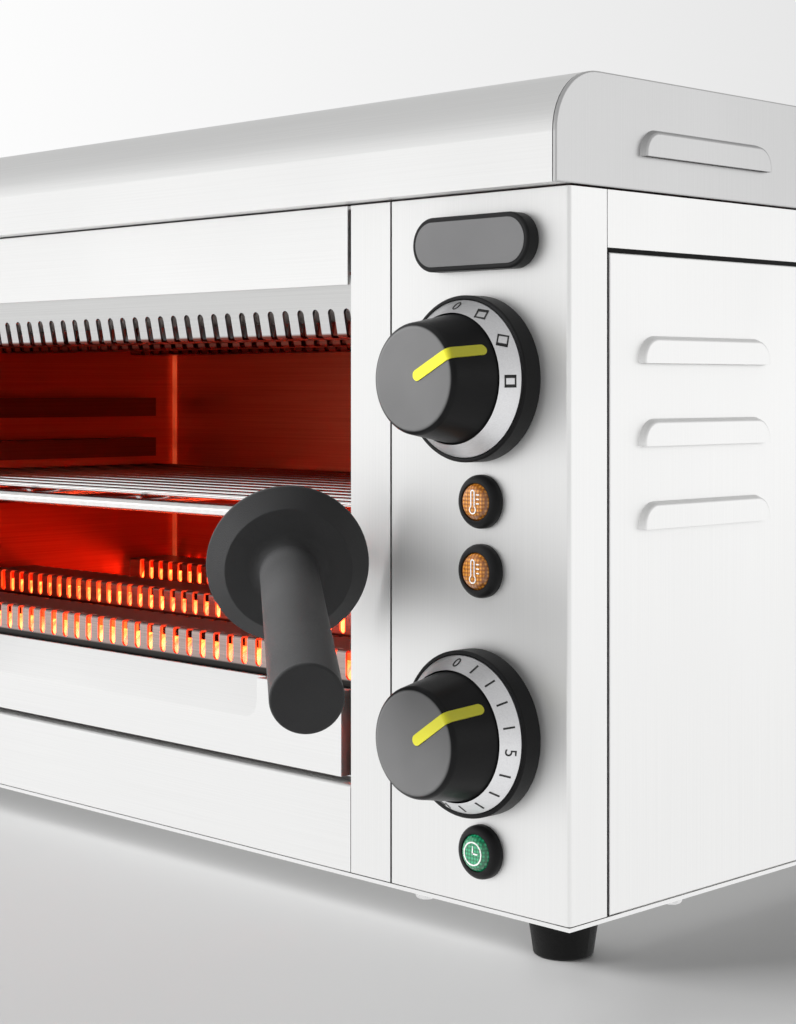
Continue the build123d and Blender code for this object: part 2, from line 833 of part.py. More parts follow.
with BuildPart() as handle_right:
    with BuildSketch(handle_plane) as handle_profile:
        with BuildLine():
            Polyline(
                (0, 0),
                (guard_radius, 0),
                (guard_radius, handle_guard_rim),
                (face_radius, handle_guard_thickness),
                grip_base,
                grip_tip,
                (0, grip_tip[1]),
                close=True,
            )
        make_face()
        fillet(handle_profile.vertices().sort_by_distance(grip_base)[0], handle_collar)
        fillet(handle_profile.vertices().sort_by_distance(grip_tip)[0], grip_edge)
        for corner in (
            (guard_radius, 0),
            (guard_radius, handle_guard_rim),
            (face_radius, handle_guard_thickness),
        ):
            fillet(handle_profile.vertices().sort_by_distance(corner)[0], handle_guard_edge)
    revolve(axis=Axis(guard_root, handle_axis))
    rod(
        stem_diameter / 2 + stem_bore_gap,
        guard_root,
        stem_tip + handle_axis * seam,
        mode=Mode.SUBTRACT,
    )
finish(handle_right, "handle_right")

with BuildPart() as handle_stem_left:
    mirror(handle_stem_right.part, about=Plane.YZ.offset(chamber_middle))
finish(handle_stem_left, "handle_stem_left")

with BuildPart() as handle_left:
    mirror(handle_right.part, about=Plane.YZ.offset(chamber_middle))
finish(handle_left, "handle_left")

# Crumb tray: a shallow pan behind a front with a long sloping finger scoop
tray_left = chamber_left + tray_side_gap
tray_right = chamber_right - tray_side_gap
tray_bottom = plinth_top + tray_gap
tray_top = tray_bottom + tray_front_height
tray_back = chamber_back_face - tray_back_gap
pan_bottom = shelf_top + tray_lift
pan_front = front + tray_front_depth
scoop_bottom = tray_top - scoop_height

with BuildPart() as scoop:
    with BuildSketch(Plane.XZ.offset(-front + overrun)):
        with Locations((chamber_middle, tray_top)):
            RectangleRounded(tray_right - tray_left - 2 * scoop_margin, 2 * scoop_height, scoop_corner)
    extrude(amount=-(overrun + scoop_depth))
    with BuildSketch(Plane.YZ.offset(tray_left)):
        with BuildLine():
            Polyline(
                (front, scoop_bottom),
                (front + scoop_depth, tray_top),
                (front + scoop_depth, tray_top + overrun),
                (front - overrun, tray_top + overrun),
                (front - overrun, scoop_bottom),
                close=True,
            )
        make_face()
    extrude(amount=tray_right - tray_left, mode=Mode.INTERSECT)

with BuildPart() as crumb_tray:
    slab((tray_left, front, tray_bottom), (tray_right, pan_front, tray_top))
    add(scoop.part, mode=Mode.SUBTRACT)
    slab(
        (tray_left + sheet, front + sheet, tray_bottom + pocket_rise),
        (tray_right - sheet, pan_front, scoop_bottom - sheet),
        mode=Mode.SUBTRACT,
    )
    slab((tray_left, pan_front - sheet, pan_bottom), (tray_right, tray_back, pan_bottom + sheet))
    pan_top = pan_bottom + tray_wall_height
    for low_x in (tray_left, tray_right - sheet):
        slab((low_x, pan_front - sheet, pan_bottom), (low_x + sheet, tray_back, pan_top))
    slab((tray_left, tray_back - sheet, pan_bottom), (tray_right, tray_back, pan_top))
finish(crumb_tray, "crumb_tray")

# Dials: a black surround with a conical scale ring that rises from its rim to the knob
dial_inner = knob_base_diameter / 2 + dial_hole_gap
dial_outer = dial_outer_diameter / 2
scale_outer = dial_outer - dial_rim
scale_back = dial_depth - scale_thickness

for name, z in (("selector", selector_z), ("timer", timer_z)):
    with BuildPart() as dial_surround:
        turned(
            knob_x,
            z,
            [
                (dial_inner, 0),
                (dial_outer, 0),
                (dial_outer, dial_depth),
                (scale_outer, dial_depth),
                (scale_outer, scale_back),
                (dial_inner, scale_back + scale_rise),
            ],
        )
        rim_edges = dial_surround.edges().filter_by(GeomType.CIRCLE).group_by(Axis.Y)[1]
        fillet(rim_edges, dial_edge)
    finish(dial_surround, f"{name}_dial")

    with BuildPart() as scale_ring:
        turned(
            knob_x,
            z,
            [
                (dial_inner, scale_back + scale_rise + scale_gap),
                (scale_outer - weld_gap, scale_back + scale_gap),
                (scale_outer - weld_gap, dial_depth + scale_gap),
                (dial_inner, dial_depth + scale_rise + scale_gap),
            ],
        )
    finish(scale_ring, f"{name}_scale_ring")

# Knobs: tapered, with a bright pointer let into the cap and the side, each on its own shaft
for name, z, angle in (("selector", selector_z, selector_angle), ("timer", timer_z, timer_angle)):
    groove = pointer_strip(z, angle, inlay_gap)

    with BuildPart() as pointer:
        add(pointer_strip(z, angle, 0))
    finish(pointer, f"{name}_pointer")

    with BuildPart() as knob:
        add(knob_form(z, 0))
        add(groove, mode=Mode.SUBTRACT)
        rod(
            shaft_diameter / 2 + socket_gap,
            (knob_x, front - knob_lift, z),
            (knob_x, front - knob_lift - shaft_grip, z),
            mode=Mode.SUBTRACT,
        )
    finish(knob, f"{name}_knob")

    with BuildPart() as shaft:
        rod(
            shaft_diameter / 2,
            (knob_x, front + sheet + shaft_tail - seam, z),
            (knob_x, front - knob_lift - shaft_grip + seam, z),
        )
    finish(shaft, f"{name}_shaft")

# Rotary switch and clockwork timer behind the panel, each with a bush through it
with BuildPart() as selector_switch:
    slab(
        (knob_x - switch_width / 2, front + sheet, selector_z - switch_height / 2),
        (knob_x + switch_width / 2, front + sheet + switch_depth, selector_z + switch_height / 2),
    )
    bush_and_bore(selector_z)
finish(selector_switch, "selector_switch")

with BuildPart() as timer_movement:
    turned(
        knob_x,
        timer_z,
        [
            (0, -sheet),
            (timer_diameter / 2, -sheet),
            (timer_diameter / 2, -sheet - timer_depth),
            (0, -sheet - timer_depth),
        ],
    )
    bush_and_bore(timer_z)
finish(timer_movement, "timer_movement")

# Pilot lamps: black surround, lens, and a body held behind the panel by its nut
lamp_inner = lens_diameter / 2 + lens_gap

with BuildPart() as lamp_bezels:
    for z in lamp_zs:
        turned(
            lamp_x,
            z,
            [
                (lamp_inner, 0),
                (lamp_diameter / 2, 0),
                (lamp_diameter / 2, lamp_proud),
                (lamp_inner, lamp_proud),
            ],
        )
    outer_rims = front_edges(lamp_bezels).group_by(SortBy.RADIUS)[-1]
    fillet(outer_rims, lamp_edge)
finish(lamp_bezels, "lamp_bezels")

for name, lens_zs in (("amber_lenses", amber_lamp_zs), ("green_lens", [green_lamp_z])):
    with BuildPart() as lenses:
        for z in lens_zs:
            turned(
                lamp_x,
                z,
                [(0, 0), (lens_diameter / 2, 0), (lens_diameter / 2, lens_proud), (0, lens_proud)],
            )
        fillet(front_edges(lenses), lens_crown)
    finish(lenses, name)

with BuildPart() as lamp_bodies:
    for z in lamp_zs:
        turned(
            lamp_x,
            z,
            [
                (0, 0),
                (lamp_body_diameter / 2, 0),
                (lamp_body_diameter / 2, -sheet),
                (lamp_nut_diameter / 2, -sheet),
                (lamp_nut_diameter / 2, -sheet - lamp_nut_thickness),
                (lamp_body_diameter / 2, -sheet - lamp_nut_thickness),
                (lamp_body_diameter / 2, -lamp_body_length),
                (0, -lamp_body_length),
            ],
        )
finish(lamp_bodies, "lamp_bodies")

# Badge: a bare raised plate with round ends
with BuildPart() as badge_plate:
    with BuildSketch(Plane.XZ.offset(-front)):
        with Locations((side - badge_inset, panel_top - badge_drop)):
            SlotOverall(badge_width, badge_height)
    extrude(amount=badge_depth)
    fillet(badge_plate.faces().sort_by(Axis.Y)[0].edges(), badge_edge)
finish(badge_plate, "badge_plate")

# Supply side: terminal block on the base, closed cord gland in the back, and the wires to the controls
terminal_front = back - terminal_back_gap - terminal_depth

with BuildPart() as terminal_block:
    slab(
        (knob_x - terminal_width / 2, terminal_front, base_top),
        (knob_x + terminal_width / 2, terminal_front + terminal_depth, base_top + terminal_height),
    )
    ridge_middle = terminal_front + terminal_depth / 2
    slab(
        (knob_x - terminal_width / 2, ridge_middle - terminal_ridge / 2, base_top + terminal_height),
        (
            knob_x + terminal_width / 2,
            ridge_middle + terminal_ridge / 2,
            base_top + terminal_height + terminal_ridge,
        ),
    )
finish(terminal_block, "terminal_block")

with BuildPart() as cord_gland:
    gland_radius = gland_diameter / 2
    flange_face = -body_depth - gland_flange_thickness
    turned(
        knob_x,
        gland_z,
        [
            (0, -body_depth + sheet + gland_tail),
            (gland_radius, -body_depth + sheet + gland_tail),
            (gland_radius, -body_depth),
            (gland_flange / 2, -body_depth),
            (gland_flange / 2, flange_face),
            (gland_radius, flange_face),
            (gland_radius, flange_face - gland_dome),
            (0, flange_face - gland_dome),
        ],
    )
    fillet(cord_gland.edges().filter_by(GeomType.CIRCLE).group_by(Axis.Y)[-1], gland_edge)
finish(cord_gland, "cord_gland")

wire_ends = [
    (selector_z, front + sheet + switch_depth),
    (selector_z, front + sheet + switch_depth),
    (timer_z, front + sheet + timer_depth),
    (timer_z, front + sheet + timer_depth),
]

with BuildPart() as wiring_loom:
    for index, (wire_z, device_back) in enumerate(wire_ends):
        wire_x = knob_x + (index - (len(wire_ends) - 1) / 2) * wire_spacing
        wire_low = base_top + wire_rise
        wire_turn = device_back + wire_run
        with BuildLine() as wire_path:
            FilletPolyline(
                (wire_x, terminal_front - wire_gap, wire_low),
                (wire_x, wire_turn, wire_low),
                (wire_x, wire_turn, wire_z),
                (wire_x, device_back + wire_gap, wire_z),
                radius=wire_bend,
            )
        with BuildSketch(Plane(origin=wire_path.line @ 0, z_dir=wire_path.line % 0)):
            Circle(wire_diameter / 2)
        sweep()
finish(wiring_loom, "wiring_loom")
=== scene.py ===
from math import atan2, cos, pi, radians, sin

import bmesh
import bpy
from mathutils import Matrix, Vector


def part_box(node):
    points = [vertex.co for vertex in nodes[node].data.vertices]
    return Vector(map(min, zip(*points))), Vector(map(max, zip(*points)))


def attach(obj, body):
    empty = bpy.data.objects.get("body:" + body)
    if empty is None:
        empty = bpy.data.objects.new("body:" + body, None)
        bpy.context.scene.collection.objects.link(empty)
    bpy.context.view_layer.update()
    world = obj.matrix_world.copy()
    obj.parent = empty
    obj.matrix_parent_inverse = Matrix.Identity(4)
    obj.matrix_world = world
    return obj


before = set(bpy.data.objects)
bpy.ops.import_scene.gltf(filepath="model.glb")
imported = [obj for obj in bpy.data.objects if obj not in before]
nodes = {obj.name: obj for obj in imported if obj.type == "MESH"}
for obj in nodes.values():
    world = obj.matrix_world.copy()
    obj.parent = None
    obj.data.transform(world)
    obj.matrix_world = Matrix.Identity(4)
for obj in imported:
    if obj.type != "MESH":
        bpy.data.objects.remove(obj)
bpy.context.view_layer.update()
MM = 0.001

# Waves per metre of each grain, along x, y and z
ALONG_X = (12.0, 3200.0, 3200.0)
ALONG_Y = (2000.0, 12.0, 2000.0)
ALONG_Z = (3200.0, 3200.0, 12.0)
CHAMBER_WAVES = (12.0, 12.0, 1600.0)
WIRE_WAVES = (300.0, 300.0, 300.0)
SCREW_WAVES = (900.0, 900.0, 900.0)
CLOUD_WAVES = (9.0, 9.0, 9.0)
PLASTIC_CLOUD_WAVES = (40.0, 40.0, 40.0)
KNOB_GRAIN_WAVES = (3200.0, 3200.0, 3200.0)
COIL_WAVES = (420.0, 60.0, 60.0)
FOLD_WAVES = (40.0, 40.0, 60.0)
FLOOR_WAVES = (3.0, 3.0, 3.0)
FACET_WAVES = 900.0
FINE_DETAIL = 3.0
SOFT_DETAIL = 2.0
NOISE_START = 0.3
NOISE_END = 0.7

# How far each grain raises or changes its surface
BRUSH_STRENGTH = 0.02
BRUSH_DEPTH = 0.2 * MM
SHEEN_CHANGE = 0.03
GRAIN_DEPTH = 0.3 * MM
KNOB_GRAIN_STRENGTH = 0.1
FACET_STRENGTH = 0.5
FACET_DEPTH = 0.6 * MM

# Glow, gloss and the soft edges between two tones. The folds' glow is a painted glow, and the last five
# values place the edges of painted glow, painted shade and the knob caps' painted sheen.
QUARTZ_ROUGHNESS = 0.18
FOLD_ROUGHNESS = 0.3
FOLD_GLOW = 0.8
LENS_ROUGHNESS = 0.12
LENS_COAT = 0.6
LENS_COAT_ROUGHNESS = 0.06
FACET_SHADE = (0.1, 0.6)
FACET_GLOW = (0.05, 0.55)
PLAIN_GLOSS = 0.5
GLOW_SHADE_BAND = (0.9 * MM, 1.6 * MM)
SHADOW_BAND = (-3.0 * MM, 3.0 * MM)
SHADE_EDGE = (-0.4 * MM, 0.2 * MM)
CAP_EDGE = (0.05 * MM, 0.25 * MM)
GUARD_SLOT = 9.2 * MM


# Material makers: plain values are set on the shader's own sockets
def new_material(name, colour, roughness, metallic=0.0):
    """A material with one plain shader to add textures to."""
    mat = bpy.data.materials.new(name)
    mat.use_nodes = True
    shader = mat.node_tree.nodes["Principled BSDF"]
    shader.inputs["Base Color"].default_value = (*colour, 1.0)
    shader.inputs["Roughness"].default_value = roughness
    shader.inputs["Metallic"].default_value = metallic
    return mat, mat.node_tree, shader


def stretched_noise(tree, waves, detail=FINE_DETAIL):
    """Noise in the part's own coordinates, with its own count of waves per metre along each axis."""
    place = tree.nodes.new("ShaderNodeTexCoord")
    mapping = tree.nodes.new("ShaderNodeMapping")
    mapping.inputs["Scale"].default_value = waves
    noise = tree.nodes.new("ShaderNodeTexNoise")
    noise.inputs["Scale"].default_value = 1.0
    noise.inputs["Detail"].default_value = detail
    tree.links.new(place.outputs["Object"], mapping.inputs["Vector"])
    tree.links.new(mapping.outputs["Vector"], noise.inputs["Vector"])
    return noise.outputs["Fac"]


def spread(tree, value, low, high, start=NOISE_START, end=NOISE_END):
    """Maps a value to a range, held at both ends."""
    node = tree.nodes.new("ShaderNodeMapRange")
    node.inputs["From Min"].default_value = start
    node.inputs["From Max"].default_value = end
    node.inputs["To Min"].default_value = low
    node.inputs["To Max"].default_value = high
    tree.links.new(value, node.inputs["Value"])
    return node.outputs["Result"]


def two_tone(tree, value, low, high, start=NOISE_START, end=NOISE_END):
    """Maps a value to a colour between two tones."""
    ramp = tree.nodes.new("ShaderNodeValToRGB")
    ramp.color_ramp.elements[0].position = start
    ramp.color_ramp.elements[0].color = (*low, 1.0)
    ramp.color_ramp.elements[1].position = end
    ramp.color_ramp.elements[1].color = (*high, 1.0)
    tree.links.new(value, ramp.inputs["Fac"])
    return ramp.outputs["Color"]


def combine(tree, operation, one, two):
    """Two values put together by one operation, such as a sum or a product."""
    node = tree.nodes.new("ShaderNodeMath")
    node.operation = operation
    tree.links.new(one, node.inputs[0])
    tree.links.new(two, node.inputs[1])
    return node.outputs["Value"]


def mix_colours(tree, share, one, two):
    """One colour where the share is 0, the other where it is 1."""
    node = tree.nodes.new("ShaderNodeMix")
    node.data_type = "RGBA"
    tree.links.new(share, node.inputs["Factor"])
    tree.links.new(one, node.inputs["A"])
    tree.links.new(two, node.inputs["B"])
    return node.outputs["Result"]


def axis_share(tree, axis, low, high):
    """0 below one value on an axis of the part's frame, 1 above another."""
    place = tree.nodes.new("ShaderNodeTexCoord")
    axes = tree.nodes.new("ShaderNodeSeparateXYZ")
    tree.links.new(place.outputs["Object"], axes.inputs["Vector"])
    return spread(tree, axes.outputs[axis], 0.0, 1.0, low, high)


def bump(tree, shader, value, strength, depth):
    """Raises the surface a little where a value is high."""
    node = tree.nodes.new("ShaderNodeBump")
    node.inputs["Strength"].default_value = strength
    node.inputs["Distance"].default_value = depth
    tree.links.new(value, node.inputs["Height"])
    tree.links.new(node.outputs["Normal"], shader.inputs["Normal"])


def brushed(name, tones, roughness, waves):
    """Rolled or brushed steel: fine lines along one axis, and a slow change of sheen."""
    mat, tree, shader = new_material(name, tones[1], roughness[0], metallic=1.0)
    lines = stretched_noise(tree, waves, SOFT_DETAIL)
    cloud = stretched_noise(tree, CLOUD_WAVES, SOFT_DETAIL)
    tree.links.new(two_tone(tree, lines, *tones), shader.inputs["Base Color"])
    line_sheen = spread(tree, lines, *roughness)
    cloud_sheen = spread(tree, cloud, -SHEEN_CHANGE, SHEEN_CHANGE)
    tree.links.new(combine(tree, "ADD", line_sheen, cloud_sheen), shader.inputs["Roughness"])
    bump(tree, shader, lines, BRUSH_STRENGTH, BRUSH_DEPTH)
    return mat


def two_level_steel(name, low_tones, high_tones, roughness, waves, level, band):
    """Brushed steel with one pair of tones below a level and another above it, which paints shade and
    glow that change at that level.
    """
    mat, tree, shader = new_material(name, high_tones[1], roughness[0], metallic=1.0)
    lines = stretched_noise(tree, waves, SOFT_DETAIL)
    share = axis_share(tree, "Z", level + band[0], level + band[1])
    low_colour = two_tone(tree, lines, *low_tones)
    high_colour = two_tone(tree, lines, *high_tones)
    tree.links.new(mix_colours(tree, share, low_colour, high_colour), shader.inputs["Base Color"])
    tree.links.new(spread(tree, lines, *roughness), shader.inputs["Roughness"])
    bump(tree, shader, lines, BRUSH_STRENGTH, BRUSH_DEPTH)
    return mat


def moulded(name, tones, roughness, waves, strength, gloss=PLAIN_GLOSS):
    """Moulded plastic, rubber or ceramic with a fine grain."""
    mat, tree, shader = new_material(name, tones[1], roughness[0])
    grain = stretched_noise(tree, (waves, waves, waves))
    cloud = stretched_noise(tree, PLASTIC_CLOUD_WAVES, SOFT_DETAIL)
    tree.links.new(two_tone(tree, cloud, *tones), shader.inputs["Base Color"])
    tree.links.new(spread(tree, grain, *roughness), shader.inputs["Roughness"])
    shader.inputs["Specular IOR Level"].default_value = gloss
    bump(tree, shader, grain, strength, GRAIN_DEPTH)
    return mat


def capped_plastic(name, face_tones, side_tones, roughness, face, band, gloss):
    """Dark plastic whose flat front face is a paler grey: partly the cap's own grey, partly a painted
    sheen.
    """
    mat, tree, shader = new_material(name, side_tones[1], roughness[0])
    grain = stretched_noise(tree, KNOB_GRAIN_WAVES)
    cloud = stretched_noise(tree, PLASTIC_CLOUD_WAVES, SOFT_DETAIL)
    share = axis_share(tree, "Y", face + band[0], face + band[1])
    face_colour = two_tone(tree, cloud, *face_tones)
    side_colour = two_tone(tree, cloud, *side_tones)
    tree.links.new(mix_colours(tree, share, face_colour, side_colour), shader.inputs["Base Color"])
    tree.links.new(spread(tree, grain, *roughness), shader.inputs["Roughness"])
    shader.inputs["Specular IOR Level"].default_value = gloss
    bump(tree, shader, grain, KNOB_GRAIN_STRENGTH, GRAIN_DEPTH)
    return mat


def glowing_quartz(name, tones, glow, strength):
    """Quartz tubes: the lower ones glow along their coils, the upper ones are cold."""
    mat, tree, shader = new_material(name, tones[1], QUARTZ_ROUGHNESS)
    coil = stretched_noise(tree, COIL_WAVES, SOFT_DETAIL)
    tree.links.new(two_tone(tree, coil, *tones), shader.inputs["Base Color"])
    low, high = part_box("quartz_tubes")
    middle = (low[2] + high[2]) / 2
    cold = axis_share(tree, "Z", middle - MM, middle + MM)
    hot = spread(tree, cold, 1.0, 0.0, 0.0, 1.0)
    power = combine(tree, "MULTIPLY", hot, spread(tree, coil, *strength))
    tree.links.new(two_tone(tree, coil, *glow), shader.inputs["Emission Color"])
    tree.links.new(power, shader.inputs["Emission Strength"])
    return mat


def glowing_fold(name, tones, glow):
    """A bright folded edge with a painted glow: it emits light of its own, unevenly along its height."""
    mat, tree, shader = new_material(name, tones[1], FOLD_ROUGHNESS, metallic=1.0)
    cloud = stretched_noise(tree, FOLD_WAVES, SOFT_DETAIL)
    tree.links.new(two_tone(tree, cloud, *tones), shader.inputs["Base Color"])
    tree.links.new(two_tone(tree, cloud, *glow), shader.inputs["Emission Color"])
    shader.inputs["Emission Strength"].default_value = FOLD_GLOW
    return mat


def lens_material(name, tones, glow, strength):
    """A moulded lens with small facets, lit a little from behind."""
    mat, tree, shader = new_material(name, tones[1], LENS_ROUGHNESS)
    place = tree.nodes.new("ShaderNodeTexCoord")
    facets = tree.nodes.new("ShaderNodeTexVoronoi")
    facets.inputs["Scale"].default_value = FACET_WAVES
    facets.inputs["Randomness"].default_value = 0.0
    tree.links.new(place.outputs["Object"], facets.inputs["Vector"])
    depth = facets.outputs["Distance"]
    colour = two_tone(tree, depth, tones[1], tones[0], *FACET_SHADE)
    tree.links.new(colour, shader.inputs["Base Color"])
    light = two_tone(tree, depth, glow, tones[0], *FACET_GLOW)
    tree.links.new(light, shader.inputs["Emission Color"])
    shader.inputs["Emission Strength"].default_value = strength
    shader.inputs["Coat Weight"].default_value = LENS_COAT
    shader.inputs["Coat Roughness"].default_value = LENS_COAT_ROUGHNESS
    bump(tree, shader, depth, FACET_STRENGTH, FACET_DEPTH)
    return mat


# Tones that more than one finish uses, each from dark to light
steel_tones = ((0.79, 0.79, 0.785), (0.83, 0.83, 0.825))
# Painted shade: near-black steel tones where shade falls
shadow_tones = ((0.03, 0.028, 0.027), (0.045, 0.042, 0.04))
# Painted red glow in shade: dark red steel tones that stand for the tubes' red light on shaded steel
glow_shade_tones = ((0.12, 0.025, 0.016), (0.18, 0.04, 0.025))
plastic_tones = ((0.012, 0.012, 0.0125), (0.018, 0.018, 0.0185))

# Steel of the casing
steel_across = brushed("steel_brushed_across", steel_tones, roughness=(0.46, 0.52), waves=ALONG_X)
steel_upright = brushed("steel_brushed_upright", steel_tones, roughness=(0.47, 0.53), waves=ALONG_Z)
lid_end_steel = brushed(
    "steel_lid_end", tones=((0.48, 0.48, 0.48), (0.52, 0.52, 0.52)), roughness=(0.34, 0.4), waves=ALONG_Z
)
turned_steel = brushed(
    "steel_turned", tones=((0.5, 0.5, 0.5), (0.66, 0.66, 0.66)), roughness=(0.24, 0.36), waves=ALONG_Y
)
screw_steel = brushed(
    "steel_screw", tones=((0.62, 0.62, 0.62), (0.74, 0.74, 0.74)),
    roughness=(0.2, 0.32), waves=SCREW_WAVES
)

# Steel in and around the chamber. Its red tones are a painted red glow of the tubes, and its darkest
# tones are painted shade.
# Chamber walls: painted shade below the crumb tray's top, and a painted red glow of the tubes above it
chamber_steel = two_level_steel(
    "steel_chamber", low_tones=shadow_tones, high_tones=((0.52, 0.1, 0.05), (0.62, 0.13, 0.065)),
    roughness=(0.34, 0.44), waves=CHAMBER_WAVES, level=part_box("crumb_tray")[1][2], band=SHADOW_BAND
)
# Rack ledges: dark red steel, a painted red glow in shade
ledge_steel = brushed(
    "steel_ledge", tones=((0.15, 0.035, 0.02), (0.2, 0.05, 0.03)), roughness=(0.34, 0.44), waves=ALONG_Y
)
# Tray shelf: dark grey steel, painted shade
shelf_steel = brushed(
    "steel_shelf", tones=((0.1, 0.09, 0.085), (0.15, 0.135, 0.13)), roughness=(0.4, 0.5), waves=ALONG_X
)
# Chamber's corner folds: a painted glow, emitted by the steel itself
painted_glow_seam_steel = glowing_fold(
    "steel_fold_painted_glow", tones=((0.5, 0.1, 0.05), (0.8, 0.2, 0.1)),
    glow=((0.2, 0.02, 0.006), (0.5, 0.075, 0.024))
)
# Lower guards: painted shade below the slots, and above them grey steel with a painted red tint of the
# glow
lower_guard_steel = two_level_steel(
    "steel_lower_guard", low_tones=shadow_tones, high_tones=((0.34, 0.26, 0.24), (0.46, 0.36, 0.33)),
    roughness=(0.3, 0.4), waves=ALONG_X,
    level=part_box("lower_guard_front")[1][2] - GUARD_SLOT, band=SHADE_EDGE
)
# Upper front guard: grey steel, with a painted red glow in shade along its lowest edge
upper_guard_steel = two_level_steel(
    "steel_upper_guard", low_tones=glow_shade_tones, high_tones=((0.54, 0.54, 0.535), (0.6, 0.6, 0.595)),
    roughness=(0.3, 0.36), waves=ALONG_X, level=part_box("upper_guard_front")[0][2], band=GLOW_SHADE_BAND
)
# Upper middle and rear guards: a painted red glow in shade all over
glow_shade_guard_steel = brushed("steel_guard_painted_glow_shade", glow_shade_tones, roughness=(0.34, 0.44), waves=ALONG_X)
tray_steel = brushed(
    "steel_tray", tones=((0.77, 0.77, 0.765), (0.81, 0.81, 0.805)), roughness=(0.38, 0.44), waves=ALONG_X
)
wire_chrome = brushed(
    "wire_chrome", tones=((0.8, 0.78, 0.77), (0.88, 0.86, 0.85)), roughness=(0.14, 0.22), waves=WIRE_WAVES
)

# Quartz, coils and ceramic
quartz = glowing_quartz(
    "quartz", tones=((0.5, 0.44, 0.41), (0.6, 0.54, 0.51)),
    glow=((1.0, 0.034, 0.006), (1.0, 0.08, 0.014)), strength=(5.5, 17.0)
)
# Heating coils: the reddish brown is a painted glow of hot wire
coil_wire = moulded(
    "coil_wire", tones=((0.2, 0.06, 0.03), (0.45, 0.17, 0.08)),
    roughness=(0.5, 0.6), waves=900.0, strength=0.3
)
ceramic = moulded(
    "ceramic_cream", tones=((0.74, 0.71, 0.64), (0.82, 0.79, 0.73)),
    roughness=(0.22, 0.32), waves=900.0, strength=0.1
)

# Plastic, rubber and print
grip_black = moulded(
    "grip_black", tones=((0.056, 0.056, 0.057), (0.068, 0.068, 0.069)),
    roughness=(0.4, 0.54), waves=2600.0, strength=0.35, gloss=0.08
)
plastic_black = moulded(
    "plastic_black", plastic_tones, roughness=(0.34, 0.44), waves=3200.0, strength=0.12, gloss=0.1
)
# Knob caps: the paler front face is partly the caps' own grey and partly a painted sheen
knob_plastic = capped_plastic(
    "knob_plastic", face_tones=((0.16, 0.16, 0.161), (0.19, 0.19, 0.191)), side_tones=plastic_tones,
    roughness=(0.3, 0.4), face=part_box("selector_knob")[0][1], band=CAP_EDGE, gloss=0.1
)
rubber_black = moulded(
    "rubber_black", tones=((0.007, 0.007, 0.007), (0.011, 0.011, 0.011)),
    roughness=(0.55, 0.7), waves=1800.0, strength=0.2, gloss=0.12
)
lime = moulded(
    "pointer_lime", tones=((0.78, 0.74, 0.03), (0.88, 0.84, 0.05)),
    roughness=(0.3, 0.42), waves=2400.0, strength=0.1
)
lamp_plastic = moulded(
    "lamp_body_plastic", tones=((0.6, 0.58, 0.53), (0.7, 0.68, 0.63)),
    roughness=(0.4, 0.5), waves=1500.0, strength=0.1
)
sleeve = moulded(
    "wire_sleeve", tones=((0.36, 0.34, 0.31), (0.5, 0.48, 0.45)),
    roughness=(0.6, 0.8), waves=1400.0, strength=0.4
)
badge_grey = moulded(
    "badge_grey", tones=((0.12, 0.12, 0.122), (0.14, 0.14, 0.142)),
    roughness=(0.34, 0.44), waves=2600.0, strength=0.08
)
mark_black = moulded(
    "mark_black", tones=((0.012, 0.012, 0.012), (0.02, 0.02, 0.02)),
    roughness=(0.45, 0.55), waves=2600.0, strength=0.05
)
symbol_white = moulded(
    "symbol_white", tones=((0.8, 0.8, 0.78), (0.9, 0.9, 0.88)),
    roughness=(0.4, 0.5), waves=2600.0, strength=0.05
)
scale_silver = brushed(
    "scale_silver", tones=((0.68, 0.68, 0.69), (0.76, 0.76, 0.77)), roughness=(0.4, 0.5), waves=ALONG_X
)

# Lamp lenses
amber = lens_material(
    "lens_amber", tones=((0.2, 0.06, 0.006), (0.62, 0.26, 0.04)), glow=(0.7, 0.28, 0.04), strength=0.3
)
green = lens_material(
    "lens_green", tones=((0.0, 0.1, 0.04), (0.03, 0.34, 0.16)), glow=(0.03, 0.45, 0.2), strength=0.35
)

finishes = {
    steel_across: ["base_pan", "plinth_panel", "header_panel", "lid_skin", "back_panel"],
    steel_upright: [
        "left_column", "right_column", "control_panel", "side_cover_left", "side_cover_right",
        "side_rail_left", "side_rail_right",
    ],
    lid_end_steel: ["lid_end_left", "lid_end_right"],
    chamber_steel: ["chamber_wall_left", "chamber_wall_right", "chamber_back", "chamber_ceiling"],
    shelf_steel: ["tray_shelf"],
    ledge_steel: ["rack_ledges_left", "rack_ledges_right"],
    lower_guard_steel: ["lower_guard_front", "lower_guard_middle", "lower_guard_rear"],
    upper_guard_steel: ["upper_guard_front"],
    glow_shade_guard_steel: ["upper_guard_middle", "upper_guard_rear"],
    tray_steel: ["crumb_tray"],
    wire_chrome: ["rack_frame", "rack_wires", "handle_stem_left", "handle_stem_right"],
    grip_black: ["handle_left", "handle_right"],
    plastic_black: [
        "selector_dial", "timer_dial", "lamp_bezels", "badge_plate", "selector_switch", "cord_gland",
    ],
    knob_plastic: ["selector_knob", "timer_knob"],
    lime: ["selector_pointer", "timer_pointer"],
    scale_silver: ["selector_scale_ring", "timer_scale_ring"],
    turned_steel: ["selector_shaft", "timer_shaft", "timer_movement"],
    screw_steel: ["casing_screws", "foot_screws"],
    rubber_black: ["feet"],
    amber: ["amber_lenses"],
    green: ["green_lens"],
    lamp_plastic: ["lamp_bodies"],
    quartz: ["quartz_tubes"],
    coil_wire: ["heating_coils"],
    ceramic: ["tube_end_caps", "terminal_block"],
    sleeve: ["wiring_loom"],
}
for mat, names in finishes.items():
    for name in names:
        for slot in nodes[name].material_slots:
            slot.material = mat


# Tools for thin printed and let-in details
PRINT = 0.12 * MM
FULL_TURN = 2 * pi
SMALL_ANGLE = 1e-6
RING_STEPS = 40
DIGIT_SHARE = 0.7


